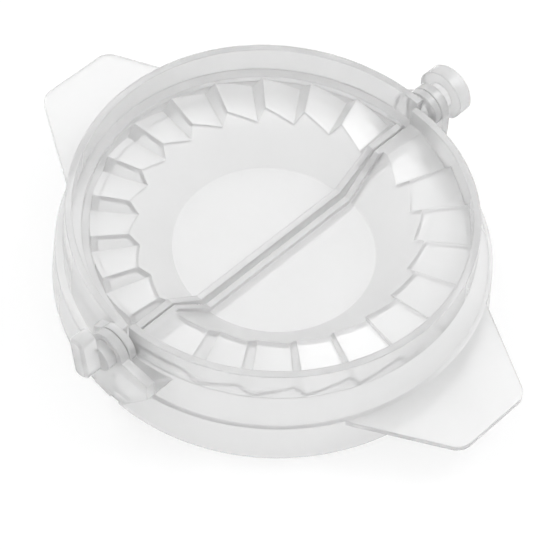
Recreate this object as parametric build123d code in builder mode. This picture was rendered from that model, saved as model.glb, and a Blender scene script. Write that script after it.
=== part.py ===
from build123d import *

import os
from math import atan2, cos, degrees, radians, sin, tan

# Empanada press, lying open on a table. Millimetres, +Z up. The origin is on the table, midway along
# the hinge line, which runs along Y. The inner leaf lies flat at +X. The outer leaf, at -X, is drawn
# flat too and then swung up to where it was left.

# Rims and the way they nest when the press is shut
rim_radius = 50.0  # outside of the outer leaf's rim
rim_wall = 1.7
nest_gap = 0.3  # radial play between the two rims
inner_rim_wall = 1.8
outer_rim_height = 26.5
hinge_height = 22.5
seat_height = 19.2  # ledge in the outer leaf that the inner rim lands on
seat_gap = 0.2  # left over that ledge when the press is shut
seat_width = 2.5
channel_width = 1.8  # groove between that ledge and the teeth
channel_depth = 1.7
rim_round = 0.6
rest_lift = 6.4  # how far the outer leaf was left from flat, in degrees

# Crimping teeth: a saw wave round each leaf, cut down from one level crest plane
crest_height = 20.9
tooth_depth = 3.2  # at the outer end of the outer leaf's teeth
tooth_length = 9.0
tooth_count = 11.5  # in half a turn
tooth_start = 8.0  # from +X to the middle of a steep face, and as far from -X on the other leaf, to mesh
steep_share = 0.2  # share of a tooth taken by its steep face

# Half bowls
floor_height = 10.9
floor_radius = 24.0
floor_round = 2.0
shell = 1.6

# Cutter skirt below the ledge
ledge_height = 11.1
ledge_step = 1.0
ledge_overhang = 1.9  # the ledge stands this far outside the rim
ledge_thickness = 1.4
skirt_flare = 0.3
inner_neck_height = 17.8  # the inner leaf's wall spreads to its ledge from here down

# Where the leaves meet
leaf_gap = 0.4
edge_rib_width = 1.6
edge_rib_rise = 1.2  # over the bowl
edge_rib_drop = 2.2  # under it

# Grip tabs
tab_length = 17.7  # beyond the skirt's foot
tab_tip_width = 21.4  # before its corners are rounded
tab_side_angle = 29.3
tab_corner = 4.5

# Hinge, the same at both ends but for the pins' heads
ear_radius = 5.0
ear_clearance = 0.3  # between the outer rim and its ear's inner face
outer_ear_width = 1.9
outer_ear_reach = 7.0  # along the outer leaf's rim
ear_gap = 0.3
inner_ear_width = 2.3
bracket_bottom = 6.5
bracket_foot = 4.6  # half the width of the inner leaf's bracket at its bottom
front_bracket_reach = 13.2  # along the inner leaf's wall
rear_bracket_reach = 5.4
bracket_edge = 4.8  # height of its outer edge
arm_clearance = 0.6  # under the outer leaf's ear
pin_radius = 2.4
running_gap = 0.06  # radial, in the outer leaf's ear
pin_end_inset = 0.3
collar_radius = 3.5
collar_length = 2.6
head_depth = 4.4
head_chamfer = 0.7
front_head_length = 12.0
front_head_width = 4.5
front_head_offset = (-1.9, 1.7)  # from the pin's axis to the middle of its bar
front_head_angle = 98.0
rear_head_radius = 6.6

# Sizes that follow
inner_rim_radius = rim_radius - rim_wall - nest_gap
inner_rim_height = 2 * hinge_height - seat_height - seat_gap
inner_tooth_end = inner_rim_radius - inner_rim_wall
seat_inner_radius = rim_radius - rim_wall - seat_width
tooth_outer_radius = seat_inner_radius - channel_width
bowl_edge_radius = tooth_outer_radius - tooth_length
skirt_top_radius = rim_radius + ledge_overhang
skirt_foot_radius = skirt_top_radius + skirt_flare
tab_reach = skirt_foot_radius + tab_length
half_gap = leaf_gap / 2
tooth_pitch = 180.0 / tooth_count
row_half = int(tooth_count / 2)
half_steep = tooth_pitch * steep_share / 2
trough_fall = tooth_depth / tooth_outer_radius
channel_floor = seat_height - channel_depth
tooth_under = min(crest_height - tooth_depth, channel_floor) - shell
bowl_angle = atan2(crest_height - floor_height, bowl_edge_radius - floor_radius)
channel_middle = (tooth_outer_radius + seat_inner_radius) / 2
ear_start = rim_radius + ear_clearance
outer_ear_face = ear_start + outer_ear_width
inner_ear_start = max(outer_ear_face, skirt_foot_radius) + ear_gap
inner_ear_face = inner_ear_start + inner_ear_width
head_start = inner_ear_face + collar_length
arm_top = hinge_height - ear_radius - arm_clearance
skirt_inner_top = skirt_top_radius - shell
reach = 2 * tab_reach  # longer than anything that it cuts
hinge_axis = Axis((0, 0, hinge_height), (0, 1, 0))


def under_radius(height):
    """Radius of the bowl wall's underside at a height."""
    return floor_radius + (height - floor_height) / tan(bowl_angle) + shell / sin(bowl_angle)


def at(radius, angle, height):
    """A point given by radius, angle from +X in degrees, and height."""
    return (radius * cos(radians(angle)), radius * sin(radians(angle)), height)


bowl_top = [(0, floor_height), (floor_radius, floor_height), (bowl_edge_radius, crest_height)]
bowl_under = [
    (under_radius(tooth_under), tooth_under),
    (under_radius(floor_height - shell), floor_height - shell),
    (0, floor_height - shell),
]
skirt = [
    (skirt_top_radius, ledge_height),
    (skirt_foot_radius, 0),
    (skirt_foot_radius - shell, 0),
    (skirt_inner_top, ledge_height - ledge_thickness),
]

outer_profile = [
    *bowl_top,
    (tooth_outer_radius, crest_height),
    (tooth_outer_radius, channel_floor),
    (seat_inner_radius, channel_floor),
    (seat_inner_radius, seat_height),
    (rim_radius - rim_wall, seat_height),
    (rim_radius - rim_wall, outer_rim_height),
    (rim_radius, outer_rim_height),
    (rim_radius, ledge_height + ledge_step / 2),
    *skirt,
    (rim_radius - rim_wall, ledge_height + ledge_step / 2),
    (rim_radius - rim_wall, tooth_under),
    *bowl_under,
]
inner_profile = [
    *bowl_top,
    (inner_tooth_end, crest_height),
    (inner_tooth_end, inner_rim_height),
    (inner_rim_radius, inner_rim_height),
    (inner_rim_radius, inner_neck_height),
    (skirt_top_radius - ledge_step, ledge_height + ledge_step / 4),
    *skirt,
    (inner_rim_radius - shell, tooth_under),
    *bowl_under,
]


def rim_corners(sketch, radius, wall, height):
    """The two top corners of a rim in its profile."""
    corners = [(radius - wall, height), (radius, height)]
    return [v for v in sketch.vertices() if any(abs(v.X - x) + abs(v.Z - z) < 0.01 for x, z in corners)]


def floor_corners(sketch):
    """The bowl's floor corners, inside and under."""
    inside = (floor_radius, floor_height)
    under = bowl_under[1]
    return [v for v in sketch.vertices() if any(abs(v.X - x) + abs(v.Z - z) < 0.01 for x, z in (inside, under))]


def tooth_wedge(low_angle, high_angle, trough_angle):
    """What is cut away between a crest line and the trough line beside it."""
    crest_angle = low_angle if trough_angle == high_angle else high_angle
    crest = Vector(*at(1, crest_angle, 0))
    trough = Vector(*at(1, trough_angle, -trough_fall))
    normal = crest.cross(trough)
    if normal.Z < 0:
        normal = -normal
    face = Plane(origin=(0, 0, crest_height), x_dir=crest, z_dir=normal)
    with BuildPart() as wedge:
        with BuildSketch(Plane.XY.offset(crest_height - 2 * tooth_depth)):
            with BuildLine():
                Polyline((0, 0), at(reach, low_angle, 0)[:2], at(reach, high_angle, 0)[:2], close=True)
            make_face()
        extrude(amount=2 * tooth_depth + shell)
        split(bisect_by=face, keep=Keep.TOP)
    return wedge.part


def notch_row(start, first, last, limit):
    """Every notch of a leaf, out to a radius. Tooth n has its steep face n pitches on from the start angle."""
    steep = tooth_wedge(-half_steep, half_steep, half_steep)
    gentle = tooth_wedge(half_steep, tooth_pitch - half_steep, half_steep)
    with BuildPart() as row:
        for tooth in range(first, last + 1):
            add(gentle, rotation=(0, 0, start + tooth * tooth_pitch))
            add(steep, rotation=(0, 0, start + tooth * tooth_pitch))
        Cylinder(limit, 4 * crest_height, mode=Mode.INTERSECT)
    return row.part


def tooth_hollow(notches, outer):
    """The hollow under a leaf's teeth, which leaves them one shell thick."""
    top = crest_height - shell
    with BuildPart() as hollow:
        with BuildSketch(Plane.XZ):
            with BuildLine():
                Polyline(
                    (under_radius(tooth_under), tooth_under - half_gap),
                    (under_radius(tooth_under), tooth_under),
                    (under_radius(top), top),
                    (outer, top),
                    (outer, tooth_under - half_gap),
                    close=True,
                )
            make_face()
        revolve(axis=Axis.Z)
        with Locations((0, 0, -shell)):
            add(notches, mode=Mode.SUBTRACT)
        Box(leaf_gap + 2 * edge_rib_width, reach, reach, mode=Mode.SUBTRACT)
    return hollow.part


def edge_rib(side):
    """The rib along a leaf's straight edge: it stands over the bowl and hangs under it."""
    outer = tooth_outer_radius if side < 0 else inner_tooth_end
    inner_corner = floor_radius - edge_rib_rise * tan(bowl_angle / 2)
    top = [
        (outer, crest_height),
        (bowl_edge_radius - edge_rib_rise / tan(bowl_angle), crest_height),
        (inner_corner, floor_height + edge_rib_rise),
    ]
    under = [
        (outer, tooth_under - edge_rib_drop),
        (under_radius(tooth_under), tooth_under - edge_rib_drop),
        (bowl_under[1][0], bowl_under[1][1] - edge_rib_drop),
    ]
    right_half = [*reversed(top), *under]
    left_half = [(-y, z) for y, z in reversed(right_half)]
    with BuildPart() as rib:
        with BuildSketch(Plane.YZ.offset(side * half_gap)):
            with BuildLine():
                Polyline(*right_half, *left_half, close=True)
            make_face()
        extrude(amount=side * edge_rib_width)
    return rib.part


def grip_tab(side):
    """A flat trapezoid that runs out from the ledge."""
    tip = tab_tip_width / 2
    root = skirt_foot_radius / 2
    root_half = tip + (tab_reach - root) * tan(radians(tab_side_angle))
    with BuildPart() as tab:
        with BuildSketch(Plane.XY.offset(ledge_height - ledge_thickness)) as plan:
            with BuildLine():
                Polyline(
                    (side * root, root_half),
                    (side * tab_reach, tip),
                    (side * tab_reach, -tip),
                    (side * root, -root_half),
                    close=True,
                )
            make_face()
            fillet([v for v in plan.vertices() if abs(v.X) > tab_reach - 1], tab_corner)
        extrude(amount=ledge_thickness)
        Cylinder(skirt_top_radius - shell / 2, 4 * ledge_height, mode=Mode.SUBTRACT)
    return tab.part


def inner_ear(bracket_reach):
    """The inner leaf's front ear, with the bracket that carries it."""
    with BuildPart() as ear:
        with BuildSketch(Plane.XZ.offset(inner_ear_start)):
            with Locations((0, hinge_height)):
                Circle(ear_radius)
            with BuildLine():
                Polyline(
                    (-ear_radius, hinge_height),
                    (-bracket_foot, bracket_bottom),
                    (bracket_foot, bracket_bottom),
                    (bracket_reach, arm_top),
                    (bracket_reach, arm_top + bracket_edge),
                    (ear_radius, hinge_height),
                    close=True,
                )
            make_face()
        extrude(amount=inner_ear_width)
        with BuildSketch(Plane.XZ.offset(inner_rim_radius - inner_rim_wall)):
            with BuildLine():
                Polyline(
                    (half_gap, bracket_bottom),
                    (bracket_foot, bracket_bottom),
                    (bracket_reach, arm_top),
                    (half_gap, arm_top),
                    close=True,
                )
            make_face()
        extrude(amount=inner_ear_start - inner_rim_radius + inner_rim_wall)
        Cylinder(inner_rim_radius - shell / 3, 4 * hinge_height, mode=Mode.SUBTRACT)
        with BuildSketch(Plane.XZ.offset(inner_ear_start)):
            with Locations((0, hinge_height)):
                Circle(pin_radius)
        extrude(amount=inner_ear_width, mode=Mode.SUBTRACT)
    return ear.part


# Shapes shared by the leaves' blocks
outer_notches = notch_row(180 - tooth_start, -row_half, row_half + 1, channel_middle)
inner_notches = notch_row(tooth_start, -row_half, row_half - 1, inner_tooth_end)
outer_hollow = tooth_hollow(outer_notches, tooth_outer_radius - shell)
inner_hollow = tooth_hollow(inner_notches, inner_tooth_end - shell / 2)
outer_rib = edge_rib(-1)
inner_rib = edge_rib(1)
outer_tab = grip_tab(-1)
inner_tab = grip_tab(1)

with BuildPart() as outer_ear:
    with BuildSketch(Plane.XZ.offset(ear_start - shell)):
        with BuildLine():
            Polyline(
                (-half_gap, hinge_height - ear_radius),
                (-half_gap, arm_top - ear_radius),
                (-outer_ear_reach, arm_top - ear_radius / 2),
                (-outer_ear_reach, hinge_height),
                (-ear_radius / 2, hinge_height + ear_radius * 0.8),
                (-half_gap, hinge_height + ear_radius * 0.8),
                close=True,
            )
        make_face()
    extrude(amount=outer_ear_width + shell)
    Cylinder(rim_radius - rim_wall / 2, 4 * hinge_height, mode=Mode.SUBTRACT)
    with BuildSketch(Plane.XZ.offset(ear_start)):
        with Locations((0, hinge_height)):
            Circle(ear_radius)
    extrude(amount=outer_ear_width)
    with BuildSketch(Plane.XZ.offset(ear_start)):
        with Locations((0, hinge_height)):
            Circle(pin_radius + running_gap)
    extrude(amount=outer_ear_width, mode=Mode.SUBTRACT)
    mirror(about=Plane.XZ)

with BuildPart() as inner_ears:
    add(inner_ear(front_bracket_reach))
    add(mirror(inner_ear(rear_bracket_reach), about=Plane.XZ))

with BuildPart() as outer_leaf:
    with BuildSketch(Plane.XZ) as outer_section:
        with BuildLine():
            Polyline(*outer_profile, close=True)
        make_face()
        fillet(rim_corners(outer_section, rim_radius, rim_wall, outer_rim_height), rim_round)
        fillet(floor_corners(outer_section), floor_round)
    revolve(axis=Axis.Z)
    split(bisect_by=Plane.YZ.offset(-half_gap), keep=Keep.BOTTOM)
    add(outer_notches, mode=Mode.SUBTRACT)
    add(outer_hollow, mode=Mode.SUBTRACT)
    add(outer_rib)
    add(outer_tab)
    add(outer_ear.part)

with BuildPart() as inner_leaf:
    with BuildSketch(Plane.XZ) as inner_section:
        with BuildLine():
            Polyline(*inner_profile, close=True)
        make_face()
        fillet(rim_corners(inner_section, inner_rim_radius, inner_rim_wall, inner_rim_height), rim_round)
        fillet(floor_corners(inner_section), floor_round)
    revolve(axis=Axis.Z)
    split(bisect_by=Plane.YZ.offset(half_gap), keep=Keep.TOP)
    add(inner_notches, mode=Mode.SUBTRACT)
    add(inner_hollow, mode=Mode.SUBTRACT)
    add(inner_rib)
    add(inner_tab)
    add(inner_ears.part)

with BuildPart() as shank:
    with BuildSketch(Plane.XZ.offset(ear_start + pin_end_inset)):
        with Locations((0, hinge_height)):
            Circle(pin_radius)
    extrude(amount=head_start - ear_start - pin_end_inset)
    with BuildSketch(Plane.XZ.offset(inner_ear_face)):
        with Locations((0, hinge_height)):
            Circle(collar_radius)
    extrude(amount=collar_length)

with BuildPart() as front_hinge_pin:
    add(shank.part)
    with BuildSketch(Plane.XZ.offset(head_start)):
        with Locations((front_head_offset[0], hinge_height + front_head_offset[1])):
            RectangleRounded(
                front_head_length, front_head_width, front_head_width * 0.4, rotation=front_head_angle
            )
    extrude(amount=head_depth)
    chamfer(front_hinge_pin.faces().sort_by(Axis.Y)[0].edges(), head_chamfer)

with BuildPart() as rear_hinge_pin:
    add(mirror(shank.part, about=Plane.XZ))
    with BuildSketch(Plane.XZ.offset(-head_start - head_depth)):
        with Locations((0, hinge_height)):
            Circle(rear_head_radius)
    extrude(amount=head_depth)
    chamfer(rear_hinge_pin.faces().sort_by(Axis.Y)[-1].edges(), head_chamfer)

# Swing the outer leaf up to where it was left
outer_leaf.part = outer_leaf.part.rotate(hinge_axis, rest_lift)

outer_leaf.part.label = "outer_leaf"
inner_leaf.part.label = "inner_leaf"
front_hinge_pin.part.label = "front_hinge_pin"
rear_hinge_pin.part.label = "rear_hinge_pin"

os.makedirs("parts", exist_ok=True)
export_step(outer_leaf.part, "parts/outer_leaf.step")
export_step(inner_leaf.part, "parts/inner_leaf.step")
export_step(front_hinge_pin.part, "parts/front_hinge_pin.step")
export_step(rear_hinge_pin.part, "parts/rear_hinge_pin.step")
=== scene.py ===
"""The empanada press, dressed and lit as it lies open in the photograph.

Lengths are in metres and the frame is the CAD model's: the table is z = 0, Y runs along the hinge
line, the outer leaf lies at -X and the inner leaf at +X.
"""

from __future__ import annotations

import logging
import math
from dataclasses import dataclass, field
from enum import Enum

import bpy
from mathutils import Matrix, Vector


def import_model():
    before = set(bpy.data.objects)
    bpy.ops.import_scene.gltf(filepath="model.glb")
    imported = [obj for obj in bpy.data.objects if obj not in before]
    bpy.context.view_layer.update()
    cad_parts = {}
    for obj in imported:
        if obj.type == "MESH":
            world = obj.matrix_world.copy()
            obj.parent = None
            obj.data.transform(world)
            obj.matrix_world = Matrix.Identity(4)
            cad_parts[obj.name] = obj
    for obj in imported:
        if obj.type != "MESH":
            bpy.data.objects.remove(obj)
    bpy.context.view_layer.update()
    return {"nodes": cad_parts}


logging.basicConfig(level=logging.INFO, format="%(message)s")
log = logging.getLogger("empanada_press")

MM = 0.001

# Places of the colour sockets on Blender's Mix node, which share their names with its other types
MIX_FIRST, MIX_SECOND, MIX_RESULT = 6, 7, 2


class Node(Enum):
    """The moulded pieces of the press."""

    OUTER_LEAF = "outer_leaf"
    INNER_LEAF = "inner_leaf"
    FRONT_PIN = "front_hinge_pin"
    REAR_PIN = "rear_hinge_pin"


def linear(hex_colour: str) -> tuple[float, float, float, float]:
    """Turns an sRGB hex colour into Blender's linear one.

    Args:
        hex_colour: Six hex digits, with or without a leading #.

    Returns:
        Red, green, blue and an alpha of 1.
    """
    digits = hex_colour.lstrip("#")
    values = [int(digits[i : i + 2], 16) / 255 for i in (0, 2, 4)]
    curve = [v / 12.92 if v <= 0.04045 else ((v + 0.055) / 1.055) ** 2.4 for v in values]
    return (curve[0], curve[1], curve[2], 1.0)


def toward(azimuth: float, elevation: float) -> Vector:
    """Gives the direction from the press to something that looks at it.

    Args:
        azimuth: Degrees round the press. At 0 it stands at -Y.
        elevation: Degrees above the table.

    Returns:
        A vector of length 1.
    """
    turn, rise = math.radians(azimuth), math.radians(elevation)
    flat = math.cos(rise)
    return Vector((math.sin(turn) * flat, -math.cos(turn) * flat, math.sin(rise)))


def add_node(
    tree: bpy.types.NodeTree,
    kind: str,
    settings: dict[str, object] | None = None,
    inputs: dict[str | int, object] | None = None,
) -> bpy.types.Node:
    """Adds a node, with its settings and its inputs.

    Args:
        tree: The node tree that takes it.
        kind: The node's type, such as ShaderNodeTexNoise.
        settings: Properties of the node.
        inputs: A value or an output socket for each input, by the input's name or place.

    Returns:
        The new node.
    """
    node = tree.nodes.new(kind)
    for name, value in (settings or {}).items():
        setattr(node, name, value)
    for name, value in (inputs or {}).items():
        socket = node.inputs[name]
        if isinstance(value, bpy.types.NodeSocket):
            tree.links.new(value, socket)
        else:
            socket.default_value = value
    return node


def seen_by_eye(tree: bpy.types.NodeTree, through: bool) -> bpy.types.NodeSocket:
    """Tells the rays that carry the white background to the eye from those that light the press.

    Args:
        tree: The node tree of the sweep's material or of the world.
        through: Whether rays that came through the plastic count too.

    Returns:
        A socket that is 1 for camera and glossy rays, and for transmission rays if they count.
    """
    path = add_node(tree, "ShaderNodeLightPath")
    seen = add_node(
        tree,
        "ShaderNodeMath",
        {"operation": "MAXIMUM"},
        {0: path.outputs["Is Camera Ray"], 1: path.outputs["Is Glossy Ray"]},
    )
    if through:
        seen = add_node(
            tree,
            "ShaderNodeMath",
            {"operation": "MAXIMUM"},
            {0: seen.outputs[0], 1: path.outputs["Is Transmission Ray"]},
        )
    return seen.outputs[0]


@dataclass(frozen=True)
class NaturalPolypropylene:
    """Natural polypropylene, injection moulded in polished steel.

    The plastic has no pigment: a wall is milky and lets light and faint shapes through, and thick
    places look whiter. The polished mould leaves a soft gloss with a very shallow, even ripple.
    """

    name: str = "natural_polypropylene"
    colour: str = "FDFDFD"
    cloud_colour: str = "F9F9F9"
    cloud_size_mm: float = 14.0
    cloud_detail: float = 3.0
    ripple_size_mm: float = 1.6  # drawn coarser than a polished mould leaves, so that it shows
    ripple_depth_mm: float = 0.004
    ripple_detail: float = 2.0
    edge_radius_mm: float = 0.45
    edge_samples: int = 6
    ior: float = 1.49
    # Both ends stay below 0.27: a range across that value came out with fine bright lines
    roughness_low: float = 0.20
    roughness_high: float = 0.26
    transmission: float = 0.68
    scatter: float = 0.1
    scatter_depth_mm: float = 2.5
    scatter_reach: tuple[float, float, float] = (1.0, 1.0, 1.0)

    def build(self) -> bpy.types.Material:
        """Makes the material.

        Returns:
            The finished material.
        """
        material = bpy.data.materials.new(self.name)
        material.use_nodes = True
        tree = material.node_tree
        tree.nodes.clear()
        cloud = self.noise(tree, self.cloud_size_mm, self.cloud_detail)
        tint = add_node(
            tree,
            "ShaderNodeMix",
            {"data_type": "RGBA"},
            {
                "Factor": cloud,
                MIX_FIRST: linear(self.colour),
                MIX_SECOND: linear(self.cloud_colour),
            },
        )
        rough = add_node(
            tree,
            "ShaderNodeMapRange",
            inputs={"Value": cloud, "To Min": self.roughness_low, "To Max": self.roughness_high},
        )
        soft_edge = add_node(
            tree,
            "ShaderNodeBevel",
            {"samples": self.edge_samples},
            {"Radius": self.edge_radius_mm * MM},
        )
        bump = add_node(
            tree,
            "ShaderNodeBump",
            inputs={
                "Strength": 1.0,
                "Distance": self.ripple_depth_mm * MM,
                "Height": self.noise(tree, self.ripple_size_mm, self.ripple_detail),
                "Normal": soft_edge.outputs["Normal"],
            },
        )
        shader = add_node(
            tree,
            "ShaderNodeBsdfPrincipled",
            {"subsurface_method": "RANDOM_WALK"},
            {
                "Base Color": tint.outputs[MIX_RESULT],
                "Roughness": rough.outputs["Result"],
                "IOR": self.ior,
                "Transmission Weight": self.transmission,
                "Subsurface Weight": self.scatter,
                "Subsurface Radius": self.scatter_reach,
                "Subsurface Scale": self.scatter_depth_mm * MM,
                "Normal": bump.outputs["Normal"],
            },
        )
        add_node(tree, "ShaderNodeOutputMaterial", inputs={"Surface": shader.outputs["BSDF"]})
        return material

    @staticmethod
    def noise(tree: bpy.types.NodeTree, size_mm: float, detail: float) -> bpy.types.NodeSocket:
        """Adds a noise that is fixed to the piece.

        Args:
            tree: The node tree that takes it.
            size_mm: How wide its largest spots are.
            detail: How many finer layers it has.

        Returns:
            The socket with its value, from 0 to 1.
        """
        place = add_node(tree, "ShaderNodeTexCoord").outputs["Object"]
        spots = add_node(
            tree,
            "ShaderNodeTexNoise",
            inputs={"Vector": place, "Scale": 1 / (size_mm * MM), "Detail": detail},
        )
        return spots.outputs["Fac"]


@dataclass(frozen=True)
class WhiteSweep:
    """Matt white paper under the press, which stays white to the camera and keeps a faint shadow."""

    name: str = "white_sweep"
    colour: str = "FFFFFF"
    glow: float = 0.72  # share of the camera's view that is the paper's own white

    def build(self) -> bpy.types.Material:
        """Makes the material.

        Returns:
            The finished material.
        """
        material = bpy.data.materials.new(self.name)
        material.use_nodes = True
        tree = material.node_tree
        tree.nodes.clear()
        colour = linear(self.colour)
        paper = add_node(tree, "ShaderNodeBsdfDiffuse", inputs={"Color": colour})
        white = add_node(tree, "ShaderNodeEmission", inputs={"Color": colour, "Strength": 1.0})
        share = add_node(
            tree,
            "ShaderNodeMath",
            {"operation": "MULTIPLY"},
            {0: seen_by_eye(tree, through=False), 1: self.glow},
        )
        mix = add_node(
            tree,
            "ShaderNodeMixShader",
            inputs={0: share.outputs[0], 1: paper.outputs[0], 2: white.outputs[0]},
        )
        add_node(tree, "ShaderNodeOutputMaterial", inputs={"Surface": mix.outputs[0]})
        return material


@dataclass
class Press:
    """The press itself: four mouldings, each taken from the CAD model and dressed."""

    nodes: dict[str, bpy.types.Object]
    finish: NaturalPolypropylene = field(default_factory=NaturalPolypropylene)

    def dress(self) -> None:
        """Gives every moulding its plastic."""
        plastic = self.finish.build()
        for node in Node:
            piece = self.nodes[node.value]
            piece.data.materials.clear()
            piece.data.materials.append(plastic)
            log.info("dressed %s, %d faces", piece.name, len(piece.data.polygons))


@dataclass
class Camera:
    """The photograph's camera, found by fitting the rims, tabs and hinge line.

    Angles are in degrees. Azimuth 0 looks along +Y, and a positive roll lowers the press's right side.
    """

    azimuth: float = 43.28
    elevation: float = 51.47
    roll: float = 1.72
    distance: float = 596.37 * MM
    focal_pixels: float = 2496.24
    frame_pixels: float = 550.0
    offset_right: float = -0.23 * MM
    offset_up: float = -6.21 * MM
    target: tuple[float, float, float] = (0.0, 0.0, 12.0 * MM)
    sensor_width: float = 36.0
    nearest: float = 0.01
    farthest: float = 20.0

    def build(self) -> bpy.types.Object:
        """Makes the camera and hands it to the scene.

        Returns:
            The camera's object.
        """
        data = bpy.data.cameras.new("photo_camera")
        data.sensor_width = self.sensor_width
        data.lens = self.focal_pixels / self.frame_pixels * self.sensor_width
        data.clip_start = self.nearest
        data.clip_end = self.farthest
        camera = bpy.data.objects.new("photo_camera", data)
        bpy.context.scene.collection.objects.link(camera)
        turn, roll = math.radians(self.azimuth), math.radians(self.roll)
        back = toward(self.azimuth, self.elevation)
        level = Vector((math.cos(turn), math.sin(turn), 0.0))
        up = back.cross(level)
        right_hand = level * math.cos(roll) + up * math.sin(roll)
        overhead = up * math.cos(roll) - level * math.sin(roll)
        spot = Vector(self.target) + back * self.distance
        spot += right_hand * self.offset_right + overhead * self.offset_up
        facing = Matrix((right_hand, overhead, back)).transposed().to_4x4()
        camera.matrix_world = Matrix.Translation(spot) @ facing
        bpy.context.scene.camera = camera
        return camera


@dataclass(frozen=True)
class Softbox:
    """One large square lamp, aimed at the press. Angles are in degrees, lengths in metres."""

    name: str
    azimuth: float
    elevation: float
    distance: float
    width: float
    watts: float

    def build(self, aim: Vector) -> bpy.types.Object:
        """Makes the lamp.

        Args:
            aim: The point that it faces.

        Returns:
            The lamp's object.
        """
        data = bpy.data.lights.new(self.name, "AREA")
        data.shape = "SQUARE"
        data.size = self.width
        data.energy = self.watts
        lamp = bpy.data.objects.new(self.name, data)
        bpy.context.scene.collection.objects.link(lamp)
        away = toward(self.azimuth, self.elevation)
        lamp.location = aim + away * self.distance
        lamp.rotation_mode = "QUATERNION"
        lamp.rotation_quaternion = (-away).to_track_quat("-Z", "Y")
        return lamp


@dataclass
class Studio:
    """The white sweep, the lamps and the white surroundings."""

    floor_width: float = 6.0
    world_light: float = 0.9
    lamp_aim: tuple[float, float, float] = (0.0, 0.0, 15.0 * MM)
    lamps: tuple[Softbox, ...] = (
        Softbox("left_softbox", -78.0, 59.0, 1.1, 0.4, 2.2),
        Softbox("rear_softbox", 158.0, 50.0, 1.1, 0.4, 2.6),
        Softbox("front_softbox", 62.0, 38.0, 1.2, 0.8, 0.4),
    )

    def build(self) -> None:
        """Makes the floor, the lamps and the world."""
        bpy.ops.object.select_all(action="DESELECT")
        bpy.ops.mesh.primitive_plane_add(size=self.floor_width, location=(0.0, 0.0, 0.0))
        floor = bpy.context.active_object
        floor.name = "sweep"
        floor.data.materials.append(WhiteSweep().build())
        for lamp in self.lamps:
            lamp.build(Vector(self.lamp_aim))
        self.build_world()

    def build_world(self) -> None:
        """Makes white surroundings that light the press evenly."""
        world = bpy.data.worlds.new("studio")
        bpy.context.scene.world = world
        world.use_nodes = True
        tree = world.node_tree
        tree.nodes.clear()
        level = add_node(
            tree,
            "ShaderNodeMapRange",
            inputs={
                "Value": seen_by_eye(tree, through=True),
                "To Min": self.world_light,
                "To Max": 1.0,
            },
        )
        white = add_node(
            tree,
            "ShaderNodeBackground",
            inputs={"Color": (1.0, 1.0, 1.0, 1.0), "Strength": level.outputs["Result"]},
        )
        add_node(tree, "ShaderNodeOutputWorld", inputs={"Surface": white.outputs[0]})


def main() -> None:
    """Loads the frame, dresses the press and builds the studio."""
    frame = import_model()
    scene = bpy.context.scene
    scene.view_settings.view_transform = "Standard"
    Press(frame["nodes"]).dress()
    Studio().build()
    Camera().build()
    bpy.context.view_layer.update()


if __name__ == "__main__":
    main()
